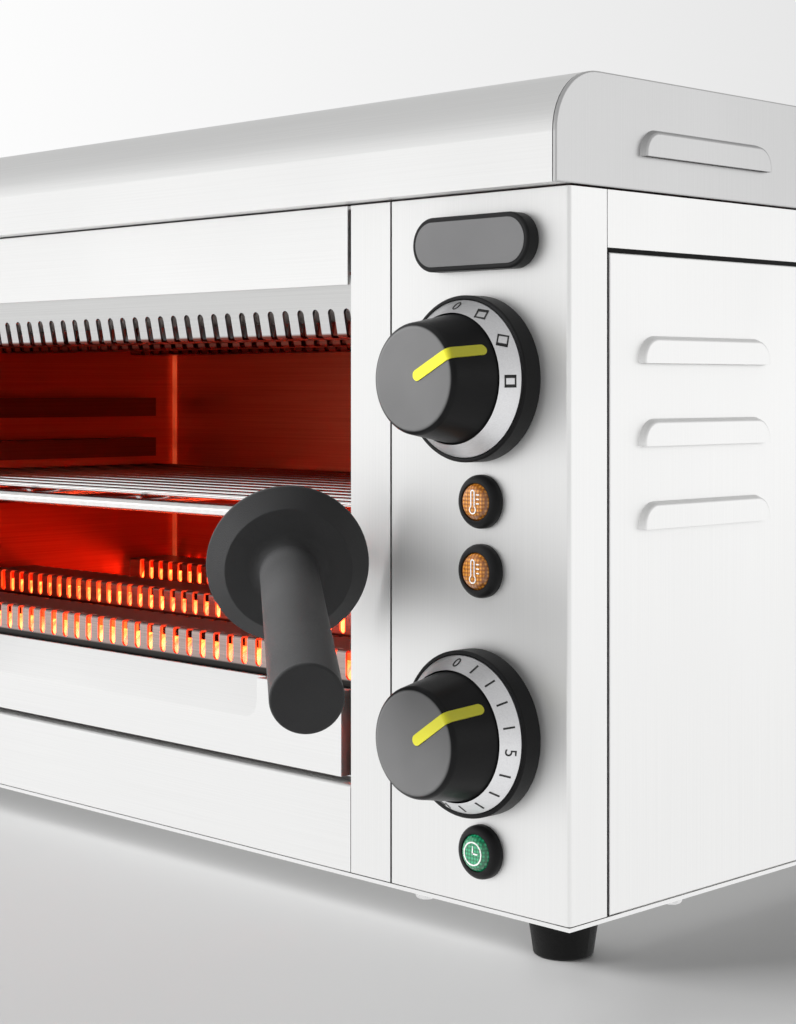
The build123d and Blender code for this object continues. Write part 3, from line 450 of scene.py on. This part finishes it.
def add_piece(name, mesh, mat, body):
    """Puts a mesh in the scene as a piece that rides on a body."""
    piece = bpy.data.objects.new(name, mesh)
    bpy.context.scene.collection.objects.link(piece)
    mesh.materials.clear()
    mesh.materials.append(mat)
    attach(piece, body)


def to_mesh(bm, name):
    """The finished mesh, with all its faces turned outwards."""
    mesh = bpy.data.meshes.new(name)
    bmesh.ops.recalc_face_normals(bm, faces=bm.faces)
    bm.to_mesh(mesh)
    bm.free()
    return mesh


def front_place(x, y, z, angle=0.0):
    """A frame on the front: x to the right, y up, z out of the front, turned clockwise by an angle."""
    base = Matrix(((1, 0, 0, x), (0, 0, -1, y), (0, 1, 0, z), (0, 0, 0, 1)))
    return base @ Matrix.Rotation(-angle, 4, "Z")


def bar(bm, place, centre, size, thickness):
    """A thin rectangular mark."""
    corners = bmesh.ops.create_cube(bm, size=1.0)["verts"]
    middle = Matrix.Translation((centre[0], centre[1], thickness / 2))
    shape = middle @ Matrix.Diagonal((size[0], size[1], thickness, 1.0))
    bmesh.ops.transform(bm, matrix=place @ shape, verts=corners)


def box_between(bm, one, two):
    """A box between two opposite corners."""
    corners = bmesh.ops.create_cube(bm, size=1.0)["verts"]
    middle = (Vector(one) + Vector(two)) / 2
    size = [abs(b - a) for a, b in zip(one, two)]
    shape = Matrix.Translation(middle) @ Matrix.Diagonal((*size, 1.0))
    bmesh.ops.transform(bm, matrix=shape, verts=corners)


def ring(bm, place, radius, width, thickness, start=0.0, end=FULL_TURN, steps=RING_STEPS):
    """A thin ring, or an arc of one, counted clockwise from the top."""
    closed = abs(end - start - FULL_TURN) < SMALL_ANGLE
    count = steps if closed else steps + 1
    inner = radius - width / 2
    outer = radius + width / 2
    section = ((inner, 0), (outer, 0), (outer, thickness), (inner, thickness))
    rows = []
    for i in range(count):
        angle = start + (end - start) * i / steps
        points = [(reach * sin(angle), reach * cos(angle), height) for reach, height in section]
        rows.append([bm.verts.new(place @ Vector(point)) for point in points])
    for i in range(steps):
        one = rows[i]
        two = rows[(i + 1) % count]
        for j in range(len(section)):
            k = (j + 1) % len(section)
            bm.faces.new((one[j], one[k], two[k], two[j]))
    if not closed:
        bm.faces.new(rows[0])
        bm.faces.new(list(reversed(rows[-1])))


def number(bm, place, text, height):
    """A plain number, printed on a place."""
    curve = bpy.data.curves.new("number", "FONT")
    curve.body = text
    curve.size = height / DIGIT_SHARE
    curve.align_x = "CENTER"
    curve.align_y = "CENTER"
    curve.extrude = PRINT / 2
    holder = bpy.data.objects.new("number", curve)
    bpy.context.scene.collection.objects.link(holder)
    bpy.context.view_layer.update()
    shown = holder.evaluated_get(bpy.context.evaluated_depsgraph_get())
    mesh = bpy.data.meshes.new_from_object(shown)
    mesh.transform(place @ Matrix.Translation((0, 0, PRINT / 2)))
    bm.from_mesh(mesh)
    bpy.data.objects.remove(holder)
    bpy.data.curves.remove(curve)
    bpy.data.meshes.remove(mesh)


# Scales of the two dials
MARK_SINK = 0.02 * MM
KNOB_GAP = 0.4 * MM
RING_SHEET = 0.8 * MM
ZERO_HEIGHT = 3.6 * MM
PICTURE_WIDTH = 3.4 * MM
PICTURE_HEIGHT = 3.6 * MM
PICTURE_LINE = 0.45 * MM
UPPER_ANGLE = 28
LOWER_ANGLE = 59
BOTH_ANGLE = 92
MINUTES = 15
MINUTE_ANGLE = 19.3
NUMBERED_EVERY = 5
MINUTE_HEIGHT = 3.4 * MM
MINUTE_WIDTH = 0.55 * MM


def dial_mark_place(name, angle):
    """A frame on a scale ring's slope, at the middle of its width: y runs outwards, z off the ring."""
    low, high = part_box(f"{name}_scale_ring")
    outer = (high[0] - low[0]) / 2
    inner = (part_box(f"{name}_knob")[1][0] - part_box(f"{name}_knob")[0][0]) / 2 + KNOB_GAP
    rise = high[1] - low[1] - RING_SHEET
    slope = atan2(rise, outer - inner)
    centre = front_place((low[0] + high[0]) / 2, low[1] + rise / 2, (low[2] + high[2]) / 2, angle)
    outwards = Matrix.Translation((0, (outer + inner) / 2, -MARK_SINK))
    return centre @ outwards @ Matrix.Rotation(-slope, 4, "X")


def selector_picture(bm, angle, sides):
    """An upright frame on the scale, with a bold bar at each side where tubes glow: 1 top, -1 bottom."""
    place = dial_mark_place("selector", radians(angle)) @ Matrix.Rotation(radians(angle), 4, "Z")
    for side in (-1, 1):
        edge_x = side * (PICTURE_WIDTH - PICTURE_LINE) / 2
        edge_y = side * (PICTURE_HEIGHT - PICTURE_LINE) / 2
        bar(bm, place, (edge_x, 0), (PICTURE_LINE, PICTURE_HEIGHT), PRINT)
        bar(bm, place, (0, edge_y), (PICTURE_WIDTH, PICTURE_LINE), PRINT)
    for side in sides:
        bold_y = side * (PICTURE_HEIGHT / 2 - PICTURE_LINE)
        bar(bm, place, (0, bold_y), (PICTURE_WIDTH, 2 * PICTURE_LINE), PRINT)


def selector_marks():
    """A 0 at the top, then one small picture for each of upper, lower and both rows of tubes."""
    bm = bmesh.new()
    number(bm, dial_mark_place("selector", 0.0), "0", ZERO_HEIGHT)
    selector_picture(bm, UPPER_ANGLE, (1,))
    selector_picture(bm, LOWER_ANGLE, (-1,))
    selector_picture(bm, BOTH_ANGLE, (1, -1))
    add_piece("selector_marks", to_mesh(bm, "selector_marks"), mark_black, "casing")


def timer_marks():
    """A stroke for each minute, with a number at every fifth."""
    bm = bmesh.new()
    for minute in range(MINUTES + 1):
        place = dial_mark_place("timer", radians(MINUTE_ANGLE * minute))
        if minute % NUMBERED_EVERY == 0:
            number(bm, place, str(minute), MINUTE_HEIGHT)
        else:
            bar(bm, place, (0, 0), (MINUTE_WIDTH, MINUTE_HEIGHT), PRINT)
    add_piece("timer_marks", to_mesh(bm, "timer_marks"), mark_black, "casing")


# Symbols on the three lamps
SYMBOL_LINE = 0.36 * MM
BULB_RADIUS = 1.15 * MM
BULB_DROP = 2.2 * MM
BULB_MOUTH = 35
BULB_STEPS = 20
STEM_HALF = 0.66 * MM
STEM_LENGTH = 4.1 * MM
STEM_RISE = 0.75 * MM
STEM_STEPS = 12
TICK_SIDE = 2.0 * MM
TICK_TOP = 2.2 * MM
TICK_PITCH = 1.3 * MM
TICK_LENGTH = 1.1 * MM
TICKS = 3
CLOCK_RADIUS = 3.3 * MM
CLOCK_LINE = 0.42 * MM
LONG_HAND = 2.4 * MM
LONG_HAND_RISE = 1.05 * MM
SHORT_HAND = 2.1 * MM
SHORT_HAND_SIDE = 0.9 * MM


def thermometer(bm, place):
    """The sign for heat: a bulb, a stem with a round top, and ticks beside it."""
    bulb = place @ Matrix.Translation((0, -BULB_DROP, 0))
    mouth = radians(BULB_MOUTH)
    ring(bm, bulb, BULB_RADIUS, SYMBOL_LINE, PRINT, mouth, FULL_TURN - mouth, BULB_STEPS)
    for side in (-1, 1):
        bar(bm, place, (side * STEM_HALF, STEM_RISE), (SYMBOL_LINE, STEM_LENGTH), PRINT)
    top = place @ Matrix.Translation((0, STEM_RISE + STEM_LENGTH / 2, 0))
    ring(bm, top, STEM_HALF, SYMBOL_LINE, PRINT, -pi / 2, pi / 2, STEM_STEPS)
    for row in range(TICKS):
        bar(bm, place, (TICK_SIDE, TICK_TOP - TICK_PITCH * row), (TICK_LENGTH, SYMBOL_LINE), PRINT)


def clock(bm, place):
    """The sign for time: a ring and two hands."""
    ring(bm, place, CLOCK_RADIUS, CLOCK_LINE, PRINT)
    bar(bm, place, (0, LONG_HAND_RISE), (CLOCK_LINE, LONG_HAND), PRINT)
    bar(bm, place, (SHORT_HAND_SIDE, 0), (SHORT_HAND, CLOCK_LINE), PRINT)


def lamp_symbols():
    """A thermometer on each amber lens, and a clock on the green one."""
    bm = bmesh.new()
    low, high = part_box("amber_lenses")
    radius = (high[0] - low[0]) / 2
    for z in (high[2] - radius, low[2] + radius):
        thermometer(bm, front_place((low[0] + high[0]) / 2, low[1], z))
    low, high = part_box("green_lens")
    clock(bm, front_place((low[0] + high[0]) / 2, low[1], (low[2] + high[2]) / 2))
    add_piece("lamp_symbols", to_mesh(bm, "lamp_symbols"), symbol_white, "casing")


# Badge face, dark strips of painted shade in the cover gaps, and a painted glow on the chamber's corner
# folds
BADGE_INSET = 1.5 * MM
BADGE_STEPS = 24
COVER_GAP = 1.4 * MM
# Strips of painted shade in the cover gaps: how thick, and how far in
SHADE_STRIP_THICKNESS = 0.3 * MM
SHADE_STRIP_DEPTH = 1.0 * MM
SEAM_WIDTH = 2.6 * MM
SEAM_DEPTH = 0.6 * MM


def badge_face():
    """A bare grey face with round ends, let into the badge and set in from its edge."""
    low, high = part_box("badge_plate")
    half_x = (high[0] - low[0]) / 2 - BADGE_INSET
    half_z = (high[2] - low[2]) / 2 - BADGE_INSET
    place = front_place((low[0] + high[0]) / 2, low[1], (low[2] + high[2]) / 2)
    bm = bmesh.new()
    outline = []
    for side, start in ((1, 0.0), (-1, pi)):
        for i in range(BADGE_STEPS + 1):
            angle = start + pi * i / BADGE_STEPS
            outline.append((side * (half_x - half_z) + half_z * sin(angle), half_z * cos(angle)))
    lower = [bm.verts.new(place @ Vector((x, y, 0))) for x, y in outline]
    upper = [bm.verts.new(place @ Vector((x, y, PRINT))) for x, y in outline]
    bm.faces.new(upper)
    for i in range(len(outline)):
        j = (i + 1) % len(outline)
        bm.faces.new((lower[i], lower[j], upper[j], upper[i]))
    add_piece("badge_face", to_mesh(bm, "badge_face"), badge_grey, "casing")


def cover_seals():
    """Dark strips at the bottom of the gaps round each side cover, which paint the shade in the gaps."""
    bm = bmesh.new()
    for name, out in (("right", 1), ("left", -1)):
        low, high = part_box(f"side_cover_{name}")
        rail_low, rail_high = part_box(f"side_rail_{name}")
        side = abs(rail_high[0] if out > 0 else rail_low[0])
        inner = out * (side - SHADE_STRIP_DEPTH)
        outer = inner + out * SHADE_STRIP_THICKNESS
        front = low[1] - COVER_GAP
        back = high[1] + COVER_GAP
        top = high[2] + COVER_GAP
        box_between(bm, (inner, front, low[2]), (outer, low[1], top))
        box_between(bm, (inner, high[1], low[2]), (outer, back, top))
        box_between(bm, (inner, low[1], high[2]), (outer, high[1], top))
    add_piece("cover_seals", to_mesh(bm, "cover_seals"), rubber_black, "casing")


def corner_seams():
    """The folded edges of the chamber's back in its two corners, given a painted glow where they catch
    the tubes' light.
    """
    bm = bmesh.new()
    low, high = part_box("chamber_back")
    for x, inwards in ((low[0], 1), (high[0], -1)):
        start = (x, low[1] - SEAM_DEPTH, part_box("tray_shelf")[1][2])
        end = (x + inwards * SEAM_WIDTH, low[1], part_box("chamber_ceiling")[0][2])
        box_between(bm, start, end)
    add_piece("corner_seams", to_mesh(bm, "corner_seams"), painted_glow_seam_steel, "casing")


selector_marks()
timer_marks()
cover_seals()
corner_seams()
lamp_symbols()
badge_face()


# Floor, sky and backdrop: strength 1 is white, and the backdrop pales towards the left of the photo
FLOOR_HALF = 6.0
FLOOR_TONES = ((0.48, 0.48, 0.48), (0.51, 0.51, 0.51))
FLOOR_ROUGHNESS = 0.55
FLOOR_FADE = (0.55, 1.7)
SWEEP = 1.08
SKY_RANGE = (0.8, 0.62)
SKY_TOP = 0.95
FILL_SHARE = 0.34
BACKDROP_RANGE = (0.8, 0.98)
BACKDROP_SIDE = 0.2
WHITE = (1.0, 1.0, 1.0, 1.0)

# Level directions from the camera: ahead, and to the left of the photo
LOOK = Vector((-0.7098, 0.7044, 0.0))
LEFT = (-LOOK.y, LOOK.x, 0.0)


def choose_shader(tree, share, one, two):
    """One shader where the share is 0, the other where it is 1."""
    node = tree.nodes.new("ShaderNodeMixShader")
    tree.links.new(share, node.inputs["Fac"])
    tree.links.new(one, node.inputs[1])
    tree.links.new(two, node.inputs[2])
    return node.outputs["Shader"]


def vector_math(tree, operation, vector):
    """A node that works on a vector."""
    node = tree.nodes.new("ShaderNodeVectorMath")
    node.operation = operation
    tree.links.new(vector, node.inputs[0])
    return node


def backdrop_strength(tree, direction):
    """How pale the backdrop is in a direction."""
    leftwards = vector_math(tree, "DOT_PRODUCT", direction)
    leftwards.inputs[1].default_value = LEFT
    return spread(tree, leftwards.outputs["Value"], *BACKDROP_RANGE, -BACKDROP_SIDE, BACKDROP_SIDE)


def floor_material():
    """A pale floor that runs out into the backdrop; steel reflects it as a studio's bright sweep."""
    mat, tree, shader = new_material("floor_pale", FLOOR_TONES[1], FLOOR_ROUGHNESS)
    cloud = stretched_noise(tree, FLOOR_WAVES, SOFT_DETAIL)
    tree.links.new(two_tone(tree, cloud, *FLOOR_TONES), shader.inputs["Base Color"])
    sweep = tree.nodes.new("ShaderNodeEmission")
    sweep.inputs["Color"].default_value = (SWEEP, SWEEP, SWEEP, 1.0)
    path = tree.nodes.new("ShaderNodeLightPath")
    place = tree.nodes.new("ShaderNodeTexCoord").outputs["Object"]
    distance = vector_math(tree, "LENGTH", place).outputs["Value"]
    outwards = vector_math(tree, "NORMALIZE", place).outputs["Vector"]
    far = tree.nodes.new("ShaderNodeEmission")
    tree.links.new(backdrop_strength(tree, outwards), far.inputs["Strength"])
    away = spread(tree, distance, 0.0, 1.0, *FLOOR_FADE)
    fade = combine(tree, "MULTIPLY", away, path.outputs["Is Camera Ray"])
    seen = choose_shader(tree, fade, shader.outputs["BSDF"], far.outputs["Emission"])
    surface = choose_shader(tree, path.outputs["Is Glossy Ray"], seen, sweep.outputs["Emission"])
    tree.links.new(surface, tree.nodes["Material Output"].inputs["Surface"])
    return mat


def floor():
    """A flat square under the object."""
    mesh = bpy.data.meshes.new("floor")
    corners = [(x * FLOOR_HALF, y * FLOOR_HALF, 0) for x, y in ((-1, -1), (1, -1), (1, 1), (-1, 1))]
    mesh.from_pydata(corners, [], [range(len(corners))])
    obj = bpy.data.objects.new("floor", mesh)
    bpy.context.scene.collection.objects.link(obj)
    mesh.materials.append(floor_material())


def studio_world():
    """Soft light from all round, weaker overhead and on dull surfaces, and the backdrop."""
    world = bpy.data.worlds.new("studio")
    bpy.context.scene.world = world
    world.use_nodes = True
    tree = world.node_tree
    light = tree.nodes["Background"]
    backdrop = tree.nodes.new("ShaderNodeBackground")
    place = tree.nodes.new("ShaderNodeTexCoord")
    axes = tree.nodes.new("ShaderNodeSeparateXYZ")
    tree.links.new(place.outputs["Generated"], axes.inputs["Vector"])
    path = tree.nodes.new("ShaderNodeLightPath")
    light.inputs["Color"].default_value = WHITE
    sky = spread(tree, axes.outputs["Z"], *SKY_RANGE, 0.0, SKY_TOP)
    fill = spread(tree, path.outputs["Is Diffuse Ray"], 1.0, FILL_SHARE, 0.0, 1.0)
    tree.links.new(combine(tree, "MULTIPLY", sky, fill), light.inputs["Strength"])
    backdrop.inputs["Color"].default_value = WHITE
    tree.links.new(backdrop_strength(tree, place.outputs["Generated"]), backdrop.inputs["Strength"])
    seen = combine(tree, "MAXIMUM", path.outputs["Is Camera Ray"], path.outputs["Is Transmission Ray"])
    surface = choose_shader(tree, seen, light.outputs["Background"], backdrop.outputs["Background"])
    tree.links.new(surface, tree.nodes["World Output"].inputs["Surface"])


# Lamps: two low boxes that only the shiny surfaces show, and a key that lights the dull ones
def softbox(name, place, target, size, power):
    """A rectangular lamp that faces a target."""
    light = bpy.data.lights.new(name, "AREA")
    light.shape = "RECTANGLE"
    light.size, light.size_y = size
    light.energy = power
    obj = bpy.data.objects.new(name, light)
    obj.location = place
    obj.rotation_euler = (Vector(target) - Vector(place)).to_track_quat("-Z", "Y").to_euler()
    bpy.context.scene.collection.objects.link(obj)
    return obj


def studio_lamps():
    """A box at the front left, one at the back right, and the key, high at the front left."""
    left_box = softbox(
        "left_box", place=(-1.6, -1.8, 0.34), target=(0.0, 0.0, 0.2), size=(2.6, 0.64), power=4.6
    )
    right_box = softbox(
        "right_box", place=(1.9, 1.3, 0.45), target=(0.1, 0.0, 0.15), size=(2.2, 0.9), power=5.0
    )
    key_box = softbox(
        "key_box", place=(-2.24, -1.94, 1.86), target=(0.1, -0.05, 0.15), size=(2.3, 2.3), power=243.0
    )
    left_box.visible_diffuse = False
    right_box.visible_diffuse = False
    key_box.visible_glossy = False


# Camera at the photo's place, level, with the picture moved down to the photo's framing
SENSOR_HEIGHT = 36.0
LENS = 69.36
PICTURE_ROWS = 1024
SHIFT_ROWS = 124.5
CLIP_NEAR = 0.01
CLIP_FAR = 30.0
EYE = (0.5783, -0.55325, 0.1645)


def photo_camera():
    """The camera that the picture is taken with."""
    camera = bpy.data.cameras.new("photo_camera")
    camera.sensor_fit = "VERTICAL"
    camera.sensor_height = SENSOR_HEIGHT
    camera.lens = LENS
    camera.shift_y = -SHIFT_ROWS / PICTURE_ROWS
    camera.clip_start = CLIP_NEAR
    camera.clip_end = CLIP_FAR
    eye = bpy.data.objects.new("photo_camera", camera)
    eye.location = EYE
    eye.rotation_euler = (pi / 2, 0.0, atan2(-LOOK.x, LOOK.y))
    bpy.context.scene.collection.objects.link(eye)
    bpy.context.scene.camera = eye


floor()
studio_lamps()
studio_world()
photo_camera()
bpy.context.scene.view_settings.view_transform = "Standard"
